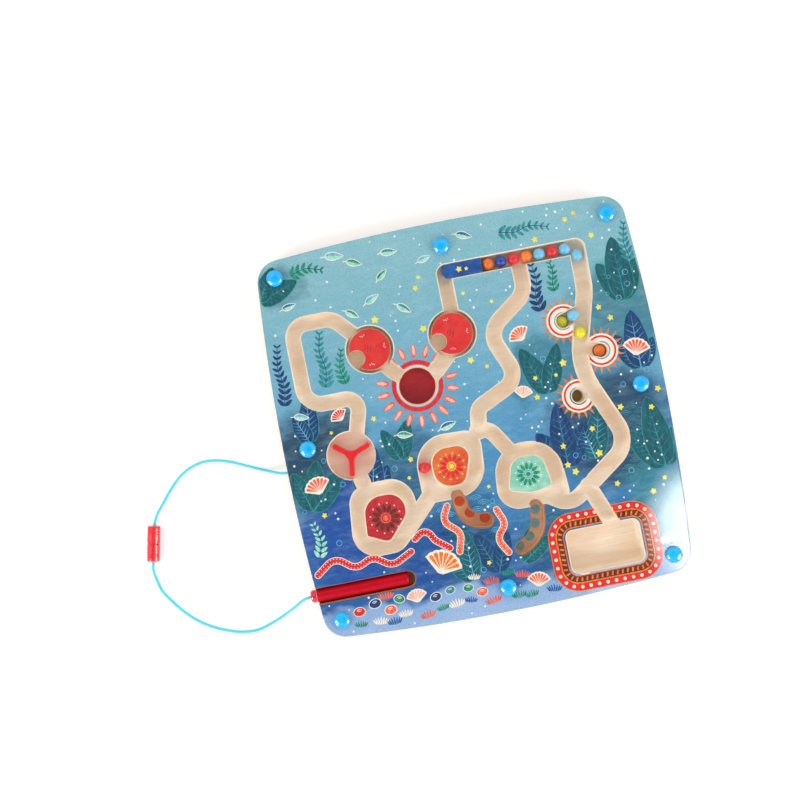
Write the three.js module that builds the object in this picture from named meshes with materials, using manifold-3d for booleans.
// Flat wooden maze toy. Balls run in routed grooves under a clear cover, past two notched turning discs, a
// three armed spinner and a sliding bar, and a magnet stylus on a cord draws them along.
// Millimetres, X to the right, Y up the board, Z up, origin at the centre of the underside.

import * as THREE from 'three';
import { mergeVertices } from 'three/addons/utils/BufferGeometryUtils.js';
import Module from 'manifold-3d';

const wasm = await Module();
wasm.setup();

// Board
const boardWidth = 300;
const boardDepth = 306.6;
const sideRadius = 1620;
const cornerRadius = 18;
const baseThickness = 4;
const floorThickness = 3.5;
const wallHeight = 10.5;
const coverThickness = 2;
const coverInset = 0.4;

// Clearances
const restGap = 0.3;
const bearingGap = 0.06;
const overrun = 0.5;

// Routed grooves. A width is taken across the printed top face, outside the rounded edges.
const runWidth = 12.2;
const midRunWidth = 12.8;
const wideRunWidth = 13.2;
const edgeRound = 0.7;
const coveRadius = 4;
const chamberRadius = 19.2;
const wellRadius = 15.9;
const wellFloorRadius = 13.5;
const pocketRadius = 6.1;
const podWidth = 11.9;
const slotUpperRound = 8.1;
const slotLowerRound = 5;
const dockWidth = 13.5;

// Balls
const ballDiameter = 9.5;
const ballGap = 0.6;
const rowGap = 0.45;
const cornerSlack = 0.5;

// Turning discs, spinner and their pivots
const discRadius = 16.2;
const discTopDrop = 0.8;
const notchRadius = 6.3;
const notchReach = 12.4;
const discPivotRadius = 2.5;
const spinnerReach = 16.3;
const spinnerArmWidth = 4.1;
const spinnerHubRadius = 3.4;
const spinnerFlare = 7.2;
const spinnerTopDrop = 1;
const spinnerPivotRadius = 1.75;
const pivotCover = 3;

// Sliding bar
const sliderLength = 31.5;
const sliderWidth = 11.1;
const sliderTopDrop = 0.6;
const sliderRightRound = 1.2;
const sliderPlay = 4.75;

// Domed pins
const pinHeadRadius = 6.4;
const pinHeadHeight = 4.2;
const pinHeadRim = 1;
const pinShankRadius = 2;
const pinShankDepth = 8;

// Stylus
const barrelRadius = 5.4;
const barrelLength = 72.8;
const barrelBoreRadius = 4.1;
const barrelTipWall = 1.6;
const barrelEdge = 1.6;
const capRadius = 4.9;
const capLength = 4.3;
const capEdge = 1.5;
const magnetLength = 10;
const dockGap = 5.6;
const stylusInset = 3.6;

// Cord, its clasp and the hole that holds its end
const cordDiameter = 2.2;
const claspRadius = 5;
const claspLength = 13.6;
const claspEdge = 0.7;
const cordHoleRadius = 1.5;
const cordHoleDepth = 14;
const cordHoleHeight = 11.5;
const anchorLength = 3.6;

// Facets
const arcStep = Math.PI / 12;
const capSteps = 8;
const largeSides = 32;
const roundSides = 24;
const smallSides = 16;
const sideSteps = 6;
const coveSteps = 3;
const cordSides = 8;
const cordStepShare = 2.3;
const bevelShare = 0.3;

// Levels
const halfWidth = boardWidth / 2;
const halfDepth = boardDepth / 2;
const halfShort = Math.min(halfWidth, halfDepth);
const floorTop = baseThickness + floorThickness;
const wallTop = floorTop + wallHeight;
const coverTop = wallTop + coverThickness;
const ballRadius = ballDiameter / 2;
const rowStep = ballDiameter + ballGap;

// Centre lines of the grooves, as shares of the half width and half depth. A third number is the corner's
// radius as a share of the shorter half.
const runShares = {
  leftRun: [[-0.487, 0.479], [-0.623, 0.624, 0.1], [-0.838, 0.624, 0.077], [-0.838, 0.211, 0.093],
    [-0.559, 0.211, 0.06], [-0.627, -0.026]],
  neck: [[-0.65, -0.13], [-0.617, -0.261]],
  leftValley: [[-0.427, 0.367], [-0.313, 0.25]],
  rightValley: [[-0.073, 0.331], [-0.193, 0.222]],
  stem: [[-0.011, 0.509], [-0.011, 0.737]],
  middle: [[0.377, 0.737], [0.379, 0.563, 0.113], [0.154, 0.404, 0.113], [0.264, 0.145, 0.093],
    [0.027, 0.037, 0.06], [0.01, -0.078]],
  arm: [[0, -0.072], [0.063, -0.075, 0.08], [0.157, -0.222]],
  diagonal: [[-0.417, -0.465], [-0.287, -0.334]],
  right: [[0.688, 0.737], [0.685, 0.522, 0.267], [0.577, 0.14, 0.373], [0.759, -0.279, 0.133],
    [0.547, -0.428]],
  lower: [[0.547, -0.428], [0.402, -0.531, 0.1], [0.28, -0.455]],
  entry: [[0.507, -0.453], [0.603, -0.691]],
  upperSpur: [[0.647, 0.417], [0.545, 0.385]],
  outerSpur: [[0.607, 0.243], [0.709, 0.204]],
  lowerSpur: [[0.62, 0.039], [0.549, 0]],
  leftPod: [[-0.162, -0.382], [-0.14, -0.514, 0.1], [-0.04, -0.525]],
  rightPod: [[0.2275, -0.5075], [0.215, -0.643, 0.147], [0.113, -0.697]],
};

// Outlines of the loops and of the islands that stand in them, counterclockwise
const outlineShares = {
  leftLoop: [[-0.709, -0.224, 0.113], [-0.748, -0.598, 0.127], [-0.499, -0.598, 0.107],
    [-0.369, -0.476, 0.053], [-0.39, -0.224, 0.133]],
  middleLoop: [[-0.34, -0.049, 0.16], [-0.34, -0.388, 0.053], [-0.007, -0.388, 0.16],
    [0.015, -0.062, 0.087]],
  rightLoop: [[0.063, -0.173, 0.16], [0.03, -0.502, 0.113], [0.413, -0.502, 0.053],
    [0.39, -0.173, 0.173]],
  leftIsland: [[-0.643, -0.301, 0.093], [-0.657, -0.487, 0.01], [-0.55, -0.537, 0.033],
    [-0.439, -0.414, 0.067], [-0.441, -0.301, 0.083]],
  middleIsland: [[-0.262, -0.127, 0.08], [-0.257, -0.321, 0.087], [-0.11, -0.321, 0.06],
    [-0.045, -0.129, 0.06]],
  rightIsland: [[0.147, -0.247, 0.067], [0.105, -0.401, 0.02], [0.22, -0.432, 0.167],
    [0.327, -0.414, 0.027], [0.297, -0.247, 0.067]],
  tray: [[0.339, -0.656, 0.04], [0.339, -0.881, 0.04], [0.73, -0.881, 0.04], [0.73, -0.656, 0.04]],
};

// Single places on the board, as shares of the half width and half depth
const placeShares = {
  leftDisc: [-0.461, 0.434],
  rightDisc: [-0.028, 0.432],
  spinner: [-0.66, -0.073],
  well: [-0.255, 0.207],
  upperPocket: [0.545, 0.385],
  outerPocket: [0.709, 0.204],
  lowerPocket: [0.549, 0],
  leftLoopHeart: [-0.6, -0.41],
  middleLoopHeart: [-0.187, -0.22],
  rightLoopHeart: [0.22, -0.34],
  trayHeart: [0.534, -0.768],
  upperRunBall: [0.606, 0.406],
  rightRunBall: [0.625, 0.312],
  loopBall: [-0.301, -0.207],
};
const slotHeightShare = 0.743;
const dockHeightShare = -0.738;
const cordHoleShare = -0.099;
const pinShares = [[-0.869, 0.875], [0.002, 0.875], [0.869, 0.875], [0.873, 0], [0.869, -0.875],
  [0.002, -0.875], [-0.869, -0.875], [-0.872, 0]];
const discTurns = { leftDisc: 205, rightDisc: 200 };
const spinnerTurn = 21.7;

// Cord routes, point by point in millimetres, from the board to the clasp and from the clasp to the stylus
const upperCordRoute = [[-140.2, -15.2, 11.5], [-149.4, -15.2, 11.5], [-157.5, -14.2, 6.5],
  [-165.5, -11.4, 1.8], [-174.1, -7.7, 1.15], [-183.5, -3.3, 1.15], [-192.9, 1.1, 1.15],
  [-204.5, 4.7, 1.15], [-215.6, 5.6, 1.15], [-225.2, 3.4, 1.15], [-234.4, -1.4, 1.15],
  [-244.4, -10.7, 1.15], [-252.4, -20.4, 2.1], [-258.6, -28.6, 4.3], [-261.9, -35.6, 5]];
const lowerCordRoute = [[-268.1, -64.0, 5], [-269.3, -69.4, 4.2], [-268.9, -77.5, 1.6],
  [-266.3, -87.8, 1.15], [-260.4, -97.1, 1.15], [-252.3, -107.4, 1.15], [-241.8, -117.2, 1.15],
  [-228.2, -125.5, 1.15], [-211.9, -131.3, 1.15], [-198.8, -132.4, 1.15], [-188.1, -129.8, 1.15],
  [-177.0, -125.3, 2.4], [-166.0, -119.6, 7.2], [-157.5, -114.6, 12.2], [-151.3, -113.15, 13.2]];
const upperClaspEnds = [[-262.0, -35.9], [-265.0, -49.3]];
const lowerClaspEnds = [[-265.07, -49.6], [-268.0, -63.7]];

// Colours
const wood = '#e3c7a0';
const paleWood = '#efd9b8';
const red = '#dc2a2f';
const crimson = '#b3122a';
const skyBlue = '#12a8ff';
const steel = '#b9bcc0';

// Plane geometry

function place([xShare, yShare, radiusShare = 0]) {
  const point = new THREE.Vector2(xShare * halfWidth, yShare * halfDepth);
  point.radius = radiusShare * halfShort;
  return point;
}

function heading(from, to) {
  return Math.atan2(to.y - from.y, to.x - from.x);
}

function shifted(point, angle, distance) {
  return new THREE.Vector2(point.x + distance * Math.cos(angle), point.y + distance * Math.sin(angle));
}

function arc(centre, radius, from, turn, steps) {
  const stepTurn = turn / steps;
  return Array.from({ length: steps + 1 }, (_, step) => shifted(centre, from + step * stepTurn, radius));
}

function circle(centre, radius, sides) {
  return arc(centre, radius, 0, 2 * Math.PI, sides).slice(0, -1);
}

// Points along corners that are rounded, moved to the left of the direction of travel by an offset
function rounded(corners, offset, closed) {
  const count = corners.length;
  return corners.flatMap((corner, index) => {
    const arriving = heading(corners[(index + count - 1) % count], corner);
    const leaving = heading(corner, corners[(index + 1) % count]);
    if (!closed && index === 0) {
      return [shifted(corner, leaving + Math.PI / 2, offset)];
    }
    if (!closed && index === count - 1) {
      return [shifted(corner, arriving + Math.PI / 2, offset)];
    }
    const turn = Math.atan2(Math.sin(leaving - arriving), Math.cos(leaving - arriving));
    const side = Math.sign(turn);
    const centre = shifted(corner, arriving + turn / 2 + (side * Math.PI) / 2,
      corner.radius / Math.cos(turn / 2));
    const steps = Math.max(2, Math.round(Math.abs(turn) / arcStep));
    return arc(centre, corner.radius - side * offset, arriving - (side * Math.PI) / 2, turn, steps);
  });
}

// Outline of a groove with round ends, counterclockwise
function stroke(corners, half) {
  const last = corners.length - 1;
  const endCap = arc(corners[last], half, heading(corners[last - 1], corners[last]) - Math.PI / 2,
    Math.PI, capSteps);
  const startCap = arc(corners[0], half, heading(corners[0], corners[1]) + Math.PI / 2, Math.PI, capSteps);
  return [
    ...rounded(corners, -half, false),
    ...endCap.slice(1, -1),
    ...rounded(corners, half, false).reverse(),
    ...startCap.slice(1, -1),
  ];
}

// The board's outline: four sides bowed outward, joined by round corners that run on from them
function boardOutline(inset) {
  const reachX = sideRadius - halfWidth;
  const reachY = sideRadius - halfDepth;
  const apart = Math.hypot(reachX, reachY);
  const rise = Math.sqrt((sideRadius - cornerRadius) ** 2 - (apart / 2) ** 2);
  const cornerX = (rise * reachY) / apart - reachX / 2;
  const cornerY = (rise * reachX) / apart - reachY / 2;
  const sideTilt = Math.atan2(cornerY, cornerX + reachX);
  const topTilt = Math.atan2(cornerX, cornerY + reachY);
  const quarter = Math.PI / 2;
  const cornerTurn = quarter - sideTilt - topTilt;
  const sideArc = (centreX, centreY, facing, tilt) =>
    arc(new THREE.Vector2(centreX, centreY), sideRadius - inset, facing - tilt, 2 * tilt, sideSteps);
  const cornerArc = (signX, signY, from) =>
    arc(new THREE.Vector2(signX * cornerX, signY * cornerY), cornerRadius - inset, from, cornerTurn,
      sideSteps).slice(1, -1);
  return [
    ...sideArc(-reachX, 0, 0, sideTilt),
    ...cornerArc(1, 1, sideTilt),
    ...sideArc(0, -reachY, quarter, topTilt),
    ...cornerArc(-1, 1, quarter + topTilt),
    ...sideArc(reachX, 0, 2 * quarter, sideTilt),
    ...cornerArc(-1, -1, 2 * quarter + sideTilt),
    ...sideArc(0, reachY, 3 * quarter, topTilt),
    ...cornerArc(1, -1, 3 * quarter + topTilt),
  ];
}

// Solid geometry

// Closed solid through rings with the same number of points, the lowest ring first
function loft(outline, profile) {
  const rings = profile.map(({ inset, height }) => ({ points: outline(inset), height }));
  const count = rings[0].points.length;
  const positions = rings.flatMap(({ points, height }) => points.flatMap(({ x, y }) => [x, y, height]));
  const indices = [];
  for (let ring = 0; ring + 1 < rings.length; ring += 1) {
    for (let index = 0; index < count; index += 1) {
      const low = ring * count + index;
      const lowNext = ring * count + ((index + 1) % count);
      indices.push(low, lowNext, lowNext + count, low, lowNext + count, low + count);
    }
  }
  const closeRing = (ring, facingUp) => {
    const { points } = rings[ring];
    THREE.ShapeUtils.triangulateShape(points, []).forEach((face) => {
      const upward = THREE.ShapeUtils.area(face.map((index) => points[index])) > 0;
      const ordered = upward === facingUp ? face : [...face].reverse();
      indices.push(...ordered.map((index) => ring * count + index));
    });
  };
  closeRing(0, false);
  closeRing(rings.length - 1, true);
  const geometry = new THREE.BufferGeometry();
  geometry.setAttribute('position', new THREE.Float32BufferAttribute(positions, 3));
  geometry.setIndex(indices);
  return geometry;
}

function prism(points, bottom, top) {
  return new THREE.ExtrudeGeometry(new THREE.Shape(points), { depth: top - bottom, bevelEnabled: false })
    .translate(0, 0, bottom);
}

// Round solid about Z from radius and height pairs that start and end on the axis
function turned(profile, sides) {
  const points = profile.map(([radius, height]) => new THREE.Vector2(radius, height));
  return new THREE.LatheGeometry(points, sides).rotateX(Math.PI / 2);
}

function cylinder(centre, radius, bottom, top, sides) {
  return turned([[0, bottom], [radius, bottom], [radius, top], [0, top]], sides)
    .translate(centre.x, centre.y, 0);
}

function solid(geometry) {
  const bare = geometry.clone();
  bare.deleteAttribute('normal');
  bare.deleteAttribute('uv');
  const merged = mergeVertices(bare);
  return new wasm.Manifold(new wasm.Mesh({
    numProp: 3,
    vertProperties: merged.attributes.position.array,
    triVerts: Uint32Array.from(merged.index.array),
  }));
}

function surface(body) {
  const mesh = body.getMesh();
  const geometry = new THREE.BufferGeometry();
  geometry.setAttribute('position', new THREE.BufferAttribute(mesh.vertProperties, 3));
  geometry.setIndex(new THREE.BufferAttribute(mesh.triVerts, 1));
  geometry.computeVertexNormals();
  return geometry;
}

function cut(geometry, cutters) {
  return surface(cutters.reduce((body, cutter) => body.subtract(solid(cutter)), solid(geometry)));
}

const board = new THREE.Group();

function add(name, geometry, colour, roughness = 0.5, metalness = 0) {
  const material = new THREE.MeshStandardMaterial({ color: colour, roughness, metalness });
  const mesh = new THREE.Mesh(geometry, material);
  mesh.name = name;
  board.add(mesh);
  return mesh;
}

// Places and lines worked out from the shares

const runs = Object.fromEntries(Object.entries(runShares).map(([name, shares]) => [name, shares.map(place)]));
const outlines = Object.fromEntries(
  Object.entries(outlineShares).map(([name, shares]) => [name, shares.map(place)]));
const places = Object.fromEntries(Object.entries(placeShares).map(([name, share]) => [name, place(share)]));
const slotY = slotHeightShare * halfDepth;
const dockY = dockHeightShare * halfDepth;
const stylusSeam = stylusInset - halfWidth;
const stylusTip = stylusSeam + barrelLength;
const dockEnd = stylusTip + dockGap - dockWidth / 2;
const cordHoleY = cordHoleShare * halfDepth;
const pinPlaces = pinShares.map(place);

// The slot that the bar and the row of balls lie in, from the stem's left wall to the right run's right wall
const slotLeft = runs.stem[0].x - runWidth / 2;
const slotRight = runs.right[0].x + wideRunWidth / 2;
const slotOutline = [
  [slotLeft, slotY + wideRunWidth / 2, slotUpperRound],
  [slotLeft, slotY - wideRunWidth / 2, slotLowerRound],
  [slotRight, slotY - wideRunWidth / 2, slotLowerRound],
  [slotRight, slotY + wideRunWidth / 2, slotUpperRound],
].map(([x, y, radius]) => Object.assign(new THREE.Vector2(x, y), { radius }));

// Routed cuts

// Section of a groove: flat floor, round foot, upright wall and a rounded edge at the printed face
const groovePart = [
  { inset: edgeRound + coveRadius, height: floorTop },
  ...Array.from({ length: coveSteps }, (_, step) => {
    const angle = (Math.PI / 2) * (1 - (step + 1) / coveSteps);
    return {
      inset: edgeRound + coveRadius - coveRadius * Math.cos(angle),
      height: floorTop + coveRadius - coveRadius * Math.sin(angle),
    };
  }),
  { inset: edgeRound, height: wallTop - edgeRound },
  { inset: 0, height: wallTop },
];
const grooveProfile = [
  { inset: edgeRound + coveRadius, height: floorTop - overrun },
  ...groovePart,
  { inset: -overrun, height: wallTop + overrun },
];
const islandProfile = groovePart.map(({ inset, height }) => ({ inset: -inset, height }));
const uprightProfile = (bottom) => [
  { inset: edgeRound, height: bottom - overrun },
  { inset: edgeRound, height: wallTop - edgeRound },
  { inset: 0, height: wallTop },
  { inset: -overrun, height: wallTop + overrun },
];

function groove(corners, width) {
  return loft((inset) => stroke(corners, width / 2 - inset), grooveProfile);
}

function hollow(corners) {
  return loft((inset) => rounded(corners, inset, true), grooveProfile);
}

function roundHollow(centre, radius, bottom, sides) {
  return loft((inset) => circle(centre, radius - inset, sides), uprightProfile(bottom));
}

const dockLine = [
  new THREE.Vector2(-boardWidth, dockY),
  new THREE.Vector2(dockEnd, dockY),
];
const grooves = [
  groove(runs.leftRun, runWidth),
  groove(runs.neck, midRunWidth),
  groove(runs.leftValley, runWidth),
  groove(runs.rightValley, wideRunWidth),
  groove(runs.stem, runWidth),
  groove(runs.middle, midRunWidth),
  groove(runs.arm, runWidth),
  groove(runs.diagonal, midRunWidth),
  groove(runs.right, wideRunWidth),
  groove(runs.lower, runWidth),
  groove(runs.entry, midRunWidth),
  groove(runs.upperSpur, runWidth),
  groove(runs.outerSpur, runWidth),
  groove(runs.lowerSpur, runWidth),
  groove(dockLine, dockWidth),
  hollow(slotOutline),
  hollow(outlines.leftLoop),
  hollow(outlines.middleLoop),
  hollow(outlines.rightLoop),
  roundHollow(places.leftDisc, chamberRadius, floorTop, largeSides),
  roundHollow(places.rightDisc, chamberRadius, floorTop, largeSides),
  roundHollow(places.spinner, chamberRadius, floorTop, largeSides),
  roundHollow(places.well, wellRadius, floorTop, largeSides),
];

// Cuts that go on through the floor layer, down to the base
const deepCuts = [
  loft((inset) => stroke(runs.leftPod, podWidth / 2 - inset), uprightProfile(baseThickness)),
  loft((inset) => stroke(runs.rightPod, podWidth / 2 - inset), uprightProfile(baseThickness)),
  loft((inset) => rounded(outlines.tray, inset, true), uprightProfile(baseThickness)),
  roundHollow(places.upperPocket, pocketRadius, baseThickness, smallSides),
  roundHollow(places.outerPocket, pocketRadius, baseThickness, smallSides),
  roundHollow(places.lowerPocket, pocketRadius, baseThickness, smallSides),
];

// Base and floor layers

function buildBase() {
  add('base_panel', prism(boardOutline(0), 0, baseThickness), wood, 0.6);
}

function buildFloor() {
  const bottom = baseThickness - overrun;
  const top = floorTop + overrun;
  const pivotHoles = [
    [places.leftDisc, discPivotRadius],
    [places.rightDisc, discPivotRadius],
    [places.spinner, spinnerPivotRadius],
  ].map(([centre, radius]) => cylinder(centre, radius + restGap, bottom, top, smallSides));
  const wellHole = cylinder(places.well, wellFloorRadius, bottom, top, largeSides);
  const plate = prism(boardOutline(0), baseThickness, floorTop);
  add('maze_floor', cut(plate, [...deepCuts, wellHole, ...pivotHoles]), paleWood, 0.6);
}

// Wall layer. It is laid out in pieces that meet on straight joints or stop at the grooves.

const farX = boardWidth;
const farY = boardDepth;

function point(x, y) {
  return new THREE.Vector2(x, y);
}

function box(lowX, highX, lowY, highY) {
  return [point(lowX, lowY), point(highX, lowY), point(highX, highY), point(lowX, highY)];
}

function centreLine(name) {
  return rounded(runs[name], 0, false);
}

// Where a run's centre line passes a given height
function crossing(name, height) {
  const line = centreLine(name);
  const next = line.findIndex(({ y }) => y < height);
  const share = (line[next - 1].y - height) / (line[next - 1].y - line[next].y);
  return line[next - 1].clone().lerp(line[next], share);
}

const upperJoint = places.upperPocket.y;
const lowerJoint = places.lowerPocket.y;
const bayJoint = places.leftDisc.x;
const topJoint = runs.leftRun[1].y;
const topLeftJoint = (runs.leftRun[1].x + runs.leftRun[2].x) / 2;
const topRightJoint = (runs.stem[0].x + runs.middle[0].x) / 2;
const leftJoint = (runs.leftRun[2].y + runs.leftRun[3].y) / 2;
const rightJoint = runs.right[3].y;
const slotStart = point(runs.stem[0].x, slotY);
const slotMiddle = point(runs.middle[0].x, slotY);
const slotFinish = point(runs.right[0].x, slotY);

const middleLine = centreLine('middle').slice(0, -1);
const upwardRightLine = centreLine('right').reverse();
const between = (line, low, high) => line.filter(({ y }) => y > low && y < high);

const regions = {
  centre: [
    places.leftDisc, ...centreLine('leftRun'), places.spinner, ...centreLine('neck'),
    places.leftLoopHeart, ...centreLine('diagonal'), places.middleLoopHeart,
    runs.arm[0], ...[...middleLine].reverse(), slotMiddle, slotStart, ...centreLine('stem').reverse(),
    places.rightDisc, ...centreLine('rightValley'), places.well, ...centreLine('leftValley').reverse(),
  ],
  innerUpper: [
    slotMiddle, ...between(middleLine, upperJoint, farY), crossing('middle', upperJoint), places.upperPocket,
    ...centreLine('upperSpur').reverse().slice(1),
    ...between(upwardRightLine, runs.upperSpur[0].y, farY), slotFinish,
  ],
  innerMiddle: [
    crossing('middle', upperJoint), ...between(middleLine, lowerJoint, upperJoint),
    crossing('middle', lowerJoint), places.lowerPocket, ...centreLine('lowerSpur').reverse().slice(1),
    ...between(upwardRightLine, runs.lowerSpur[0].y, runs.upperSpur[0].y), ...centreLine('upperSpur'),
  ],
  innerLower: [
    crossing('middle', lowerJoint), ...between(middleLine, -farY, lowerJoint), ...centreLine('arm'),
    places.rightLoopHeart, ...centreLine('lower').reverse().slice(0, -1),
    ...between(upwardRightLine, -farY, runs.lowerSpur[0].y), ...centreLine('lowerSpur'),
  ],
  bottomRight: [
    places.rightLoopHeart, ...centreLine('lower').reverse().slice(0, -1), ...centreLine('entry'),
    places.trayHeart, point(farX, places.trayHeart.y), point(farX, -farY), point(runs.rightPod[1].x, -farY),
    runs.rightPod[1], runs.rightPod[0],
  ],
  bottomMiddle: [
    places.middleLoopHeart, runs.leftPod[0], runs.leftPod[1], point(runs.leftPod[1].x, -farY),
    point(runs.rightPod[1].x, -farY), runs.rightPod[1], runs.rightPod[0], places.rightLoopHeart,
    ...centreLine('arm').reverse(),
  ],
  bottomLeft: [
    places.leftLoopHeart, point(places.leftLoopHeart.x, dockY), point(-farX, dockY), point(-farX, -farY),
    point(runs.leftPod[1].x, -farY), runs.leftPod[1], runs.leftPod[0], places.middleLoopHeart,
    ...centreLine('diagonal').reverse(),
  ],
  topRight: [
    point(topRightJoint, slotY), slotFinish,
    ...between(upwardRightLine, runs.outerSpur[0].y, farY).reverse(), ...centreLine('outerSpur'),
    point(farX, places.outerPocket.y), point(farX, farY), point(topRightJoint, farY),
  ],
  right: [
    ...centreLine('outerSpur').reverse(),
    ...between(upwardRightLine, rightJoint, runs.outerSpur[0].y).reverse(),
    crossing('right', rightJoint), point(farX, rightJoint), point(farX, places.outerPocket.y),
  ],
};

// Each wall piece lies in a region, or in none of them, and within a frame
const wallPieces = [
  ['wall_bay', 'centre', box(-farX, bayJoint, -farY, farY)],
  ['wall_centre', 'centre', box(bayJoint, farX, -farY, upperJoint)],
  ['wall_upper_centre', 'centre', box(bayJoint, farX, upperJoint, farY)],
  ['wall_inner_upper', 'innerUpper', null],
  ['wall_inner_middle', 'innerMiddle', null],
  ['wall_inner_lower', 'innerLower', null],
  ['wall_bottom_right', 'bottomRight', null],
  ['wall_bottom_middle', 'bottomMiddle', null],
  ['wall_bottom_left', 'bottomLeft', null],
  ['wall_top_right', 'topRight', null],
  ['wall_right', 'right', null],
  ['wall_top', null, box(topLeftJoint, topRightJoint, topJoint, farY)],
  ['wall_between_discs', null, box(topLeftJoint, slotStart.x, places.well.y, topJoint)],
  ['wall_lower_right', null, box(0, farX, places.trayHeart.y, rightJoint)],
  ['wall_left_lower', null, box(-farX, places.leftLoopHeart.x, dockY, places.spinner.y)],
  ['wall_left', null, box(-farX, bayJoint, places.spinner.y, leftJoint)],
  ['wall_top_left', null, box(-farX, topLeftJoint, leftJoint, farY)],
];

function buildWalls() {
  const through = (outline) => solid(prism(outline, floorTop - 2 * overrun, wallTop + 2 * overrun));
  const voids = [...grooves, ...deepCuts].map(solid).reduce((body, cutter) => body.add(cutter));
  const shankHoles = pinPlaces.map((centre) => solid(cylinder(centre, pinShankRadius + restGap,
    wallTop - pinShankDepth - restGap, wallTop + overrun, smallSides)));
  const cordHole = solid(new THREE
    .CylinderGeometry(cordHoleRadius, cordHoleRadius, 2 * cordHoleDepth, smallSides)
    .rotateZ(Math.PI / 2)
    .translate(-halfWidth, cordHoleY, cordHoleHeight));
  const layer = [...shankHoles, cordHole].reduce((body, hole) => body.subtract(hole),
    solid(prism(boardOutline(0), floorTop, wallTop)).subtract(voids));
  const rest = Object.values(regions).reduce((body, region) => body.subtract(through(region)), layer);
  wallPieces.forEach(([name, region, frame]) => {
    const part = region ? layer.intersect(through(regions[region])) : rest;
    add(name, surface(frame ? part.intersect(through(frame)) : part), paleWood, 0.6);
  });
  [['island_left', outlines.leftIsland, red],
    ['island_middle', outlines.middleIsland, '#e8622a'],
    ['island_right', outlines.rightIsland, '#7ccfb6']].forEach(([name, corners, colour]) => {
    add(name, loft((inset) => rounded(corners, inset, true), islandProfile), colour, 0.55);
  });
}

// Clear cover with its pins

function buildCover() {
  const bottom = wallTop - overrun;
  const top = coverTop + overrun;
  const holeRadius = pinShankRadius + restGap;
  const holes = pinPlaces.map((centre) => cylinder(centre, holeRadius, bottom, top, smallSides));
  const dockOpening = prism(stroke(dockLine, dockWidth / 2), bottom, top);
  const sheet = prism(boardOutline(coverInset), wallTop, coverTop);
  add('clear_cover', cut(sheet, [...holes, dockOpening]), '#f4f8fa', 0.08);
}

function buildPins() {
  const domeSteps = 3;
  const dome = Array.from({ length: domeSteps }, (_, step) => {
    const angle = (Math.PI / 2) * ((step + 1) / domeSteps);
    return [pinHeadRadius * Math.cos(angle), pinHeadRim + (pinHeadHeight - pinHeadRim) * Math.sin(angle)];
  });
  dome[domeSteps - 1][0] = 0;
  const profile = [
    [0, -coverThickness - pinShankDepth],
    [pinShankRadius, -coverThickness - pinShankDepth],
    [pinShankRadius, 0],
    [pinHeadRadius - edgeRound / 2, 0],
    [pinHeadRadius, edgeRound / 2],
    [pinHeadRadius, pinHeadRim],
    ...dome,
  ];
  pinPlaces.forEach(({ x, y }, index) => {
    add(`pin_${index + 1}`, turned(profile, smallSides), skyBlue, 0.25).position.set(x, y, coverTop);
  });
}

// Turning discs

function buildDisc(name, centre, turnDegrees) {
  const bottom = floorTop + restGap;
  const top = wallTop - discTopDrop;
  const along = (notchReach ** 2 + discRadius ** 2 - notchRadius ** 2) / (2 * notchReach);
  const across = Math.sqrt(discRadius ** 2 - along ** 2);
  const mouth = Math.atan2(across, along);
  const bite = Math.atan2(across, along - notchReach);
  const outline = [
    ...arc(point(0, 0), discRadius, mouth, 2 * (Math.PI - mouth), largeSides),
    ...arc(point(notchReach, 0), notchRadius, -bite, 2 * bite - 2 * Math.PI, 2 * capSteps).slice(1, -1),
  ];
  const boreRadius = discPivotRadius + bearingGap;
  const bore = cylinder(point(0, 0), boreRadius, bottom - overrun, top - pivotCover, roundSides);
  const disc = add(name, cut(prism(outline, bottom, top), [bore]), red, 0.25);
  disc.position.set(centre.x, centre.y, 0);
  disc.rotation.z = THREE.MathUtils.degToRad(turnDegrees);
  const pivotTop = top - pivotCover - restGap;
  const pivot = cylinder(centre, discPivotRadius, baseThickness, pivotTop, roundSides);
  add(`${name}_pivot`, pivot, steel, 0.35, 0.9);
}

// Spinner with three arms that widen toward the hub

function buildSpinner() {
  const bottom = floorTop + restGap;
  const top = wallTop - spinnerTopDrop;
  const arms = 3;
  const halfArm = spinnerArmWidth / 2;
  const outline = Array.from({ length: arms }, (_, arm) => {
    const angle = (2 * Math.PI * arm) / arms;
    const onArm = (along, across) => shifted(shifted(point(0, 0), angle, along), angle + Math.PI / 2, across);
    return [
      onArm(spinnerFlare, -halfArm),
      onArm(spinnerReach - halfArm / 2, -halfArm),
      onArm(spinnerReach, -halfArm / 2),
      onArm(spinnerReach, halfArm / 2),
      onArm(spinnerReach - halfArm / 2, halfArm),
      onArm(spinnerFlare, halfArm),
      shifted(point(0, 0), angle + Math.PI / arms, spinnerHubRadius),
    ];
  }).flat();
  const bore = cylinder(point(0, 0), spinnerPivotRadius + bearingGap, bottom - overrun, top - pivotCover,
    roundSides);
  const spinner = add('spinner', cut(prism(outline, bottom, top), [bore]), red, 0.3);
  spinner.position.set(places.spinner.x, places.spinner.y, 0);
  spinner.rotation.z = THREE.MathUtils.degToRad(spinnerTurn);
  const pivotTop = top - pivotCover - restGap;
  const pivot = cylinder(places.spinner, spinnerPivotRadius, baseThickness, pivotTop, roundSides);
  add('spinner_pivot', pivot, steel, 0.35, 0.9);
}

// Sliding bar: its lower edges follow the groove's round foot

const sliderLeft = slotLeft + sliderPlay;
const sliderBottom = floorTop + restGap;

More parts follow.
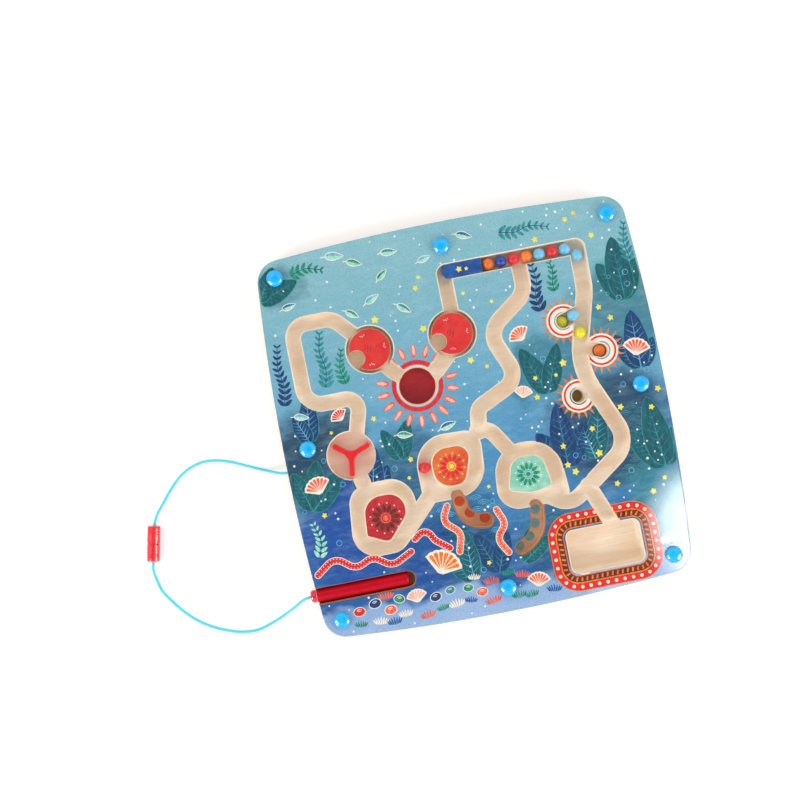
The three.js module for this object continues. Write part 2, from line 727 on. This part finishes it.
function buildSlider() {
  const top = wallTop - sliderTopDrop;
  const half = sliderWidth / 2;
  const foot = (x, from) =>
    arc(point(x, sliderBottom + coveRadius), coveRadius, from, Math.PI / 2, coveSteps);
  const section = new THREE.Shape([
    ...foot(half - coveRadius, -Math.PI / 2),
    point(half, top - edgeRound),
    point(half - edgeRound, top),
    point(edgeRound - half, top),
    point(-half, top - edgeRound),
    ...foot(coveRadius - half, Math.PI),
  ]);
  const bar = new THREE.ExtrudeGeometry(section, { depth: sliderLength, bevelEnabled: false })
    .rotateX(Math.PI / 2)
    .rotateZ(Math.PI / 2)
    .translate(sliderLeft, slotY, 0);
  const plan = [
    [sliderLeft, slotY + half, half],
    [sliderLeft, slotY - half, half],
    [sliderLeft + sliderLength, slotY - half, sliderRightRound],
    [sliderLeft + sliderLength, slotY + half, sliderRightRound],
  ].map(([x, y, radius]) => Object.assign(point(x, y), { radius }));
  const column = prism(rounded(plan, 0, true), sliderBottom - overrun, top + overrun);
  add('slider_bar', surface(solid(bar).intersect(solid(column))), '#2c5296', 0.35);
}

// Balls

function addBall(name, x, y, seat, colour) {
  const geometry = mergeVertices(new THREE.IcosahedronGeometry(ballRadius, 2).deleteAttribute('normal')
    .deleteAttribute('uv'));
  geometry.computeVertexNormals();
  add(name, geometry, colour, 0.2).position.set(x, y, seat + restGap + ballRadius);
}

// The next ball lies beside the last one in the slot, or past its corner, down the right run
function nextInSlot(last, reach) {
  const left = runs.right[1].x - last.x;
  if (reach <= left) {
    return point(last.x + reach, last.y);
  }
  return point(runs.right[1].x, last.y - Math.sqrt(reach ** 2 - left ** 2));
}

function buildBalls() {
  const lastInRow = 6;
  const orange = '#f57a1e';
  const ballRed = '#e0262f';
  const navy = '#1b3a8c';
  const lightBlue = '#6ac2ec';
  let last = point(sliderLeft + sliderLength + rowGap + ballRadius, slotY);
  [orange, navy, ballRed, orange, lightBlue, ballRed, lightBlue].forEach((colour, index) => {
    addBall(`row_ball_${index + 1}`, last.x, last.y, floorTop, colour);
    last = nextInSlot(last, rowStep + (index === lastInRow ? cornerSlack : 0));
  });
  addBall('corner_ball', last.x, last.y, floorTop, lightBlue);
  addBall('upper_run_ball', places.upperRunBall.x, places.upperRunBall.y, floorTop, lightBlue);
  addBall('right_run_ball', places.rightRunBall.x, places.rightRunBall.y, floorTop, '#f2e11e');
  addBall('loop_ball', places.loopBall.x, places.loopBall.y, floorTop, ballRed);
  addBall('upper_pocket_ball', places.upperPocket.x, places.upperPocket.y, baseThickness, '#cfcf28');
  addBall('outer_pocket_ball', places.outerPocket.x, places.outerPocket.y, baseThickness, orange);
}

// Stylus: a bored barrel with the magnet at its tip and a cap where the cord comes in

const stylusHeight = floorTop + restGap + barrelRadius;

function alongX(geometry, start) {
  return geometry.rotateY(Math.PI / 2).translate(start, dockY, stylusHeight);
}

function buildStylus() {
  const barrel = [
    [0, barrelLength],
    [0, barrelLength - barrelTipWall],
    [barrelBoreRadius, barrelLength - barrelTipWall],
    [barrelBoreRadius, 0],
    [barrelRadius - edgeRound / 2, 0],
    [barrelRadius, edgeRound / 2],
    [barrelRadius, barrelLength - barrelEdge],
    [barrelRadius - barrelEdge * bevelShare, barrelLength - barrelEdge * bevelShare],
    [barrelRadius - barrelEdge, barrelLength],
    [0, barrelLength],
  ].slice(1);
  add('stylus_barrel', alongX(turned(barrel, roundSides), stylusSeam), crimson, 0.3);
  const cap = [
    [0, 0],
    [capRadius - capEdge, 0],
    [capRadius - capEdge * bevelShare, capEdge * bevelShare],
    [capRadius, capEdge],
    [capRadius, capLength],
    [0, capLength],
  ];
  add('stylus_cap', alongX(turned(cap, roundSides), stylusSeam - restGap - capLength), '#e02030', 0.25);
  const magnetRadius = barrelBoreRadius - restGap;
  const magnet = [
    [0, 0],
    [magnetRadius, 0],
    [magnetRadius, magnetLength],
    [0, magnetLength],
  ];
  const magnetStart = stylusTip - barrelTipWall - restGap - magnetLength;
  add('stylus_magnet', alongX(turned(magnet, smallSides), magnetStart), steel, 0.3, 1);
}

// Cord in two lengths, joined by the clasp

function buildCord(name, route) {
  const spots = route.map((spot) => new THREE.Vector3(...spot));
  const curve = new THREE.CatmullRomCurve3(spots, false, 'centripetal');
  const section = new THREE.Shape(circle(point(0, 0), cordDiameter / 2, cordSides));
  const steps = Math.round(curve.getLength() / (cordStepShare * cordDiameter));
  const tube = new THREE.ExtrudeGeometry(section, { steps, bevelEnabled: false, extrudePath: curve });
  add(name, tube, '#58dbe8', 0.7);
}

function buildClaspHalf(name, [from, to]) {
  const profile = [
    [0, 0],
    [claspRadius - claspEdge, 0],
    [claspRadius, claspEdge],
    [claspRadius, claspLength - claspEdge],
    [claspRadius - claspEdge, claspLength],
    [0, claspLength],
  ];
  const direction = Math.atan2(to[1] - from[1], to[0] - from[0]);
  const half = add(name, turned(profile, roundSides).rotateY(Math.PI / 2), red, 0.3);
  half.position.set(from[0], from[1], claspRadius);
  half.rotation.z = direction;
}

function buildCordParts() {
  buildCord('cord_upper', upperCordRoute);
  buildCord('cord_lower', lowerCordRoute);
  buildClaspHalf('clasp_upper', upperClaspEnds);
  buildClaspHalf('clasp_lower', lowerClaspEnds);
  const anchorStart = cordHoleDepth - halfWidth - restGap - anchorLength;
  add('cord_anchor', turned([
    [0, 0],
    [cordHoleRadius - restGap, 0],
    [cordHoleRadius - restGap, anchorLength],
    [0, anchorLength],
  ], smallSides).rotateY(Math.PI / 2).translate(anchorStart, cordHoleY, cordHoleHeight), wood, 0.6);
}

buildBase();
buildFloor();
buildWalls();
buildCover();
buildPins();
buildDisc('left_disc', places.leftDisc, discTurns.leftDisc);
buildDisc('right_disc', places.rightDisc, discTurns.rightDisc);
buildSpinner();
buildSlider();
buildBalls();
buildStylus();
buildCordParts();

export default board;
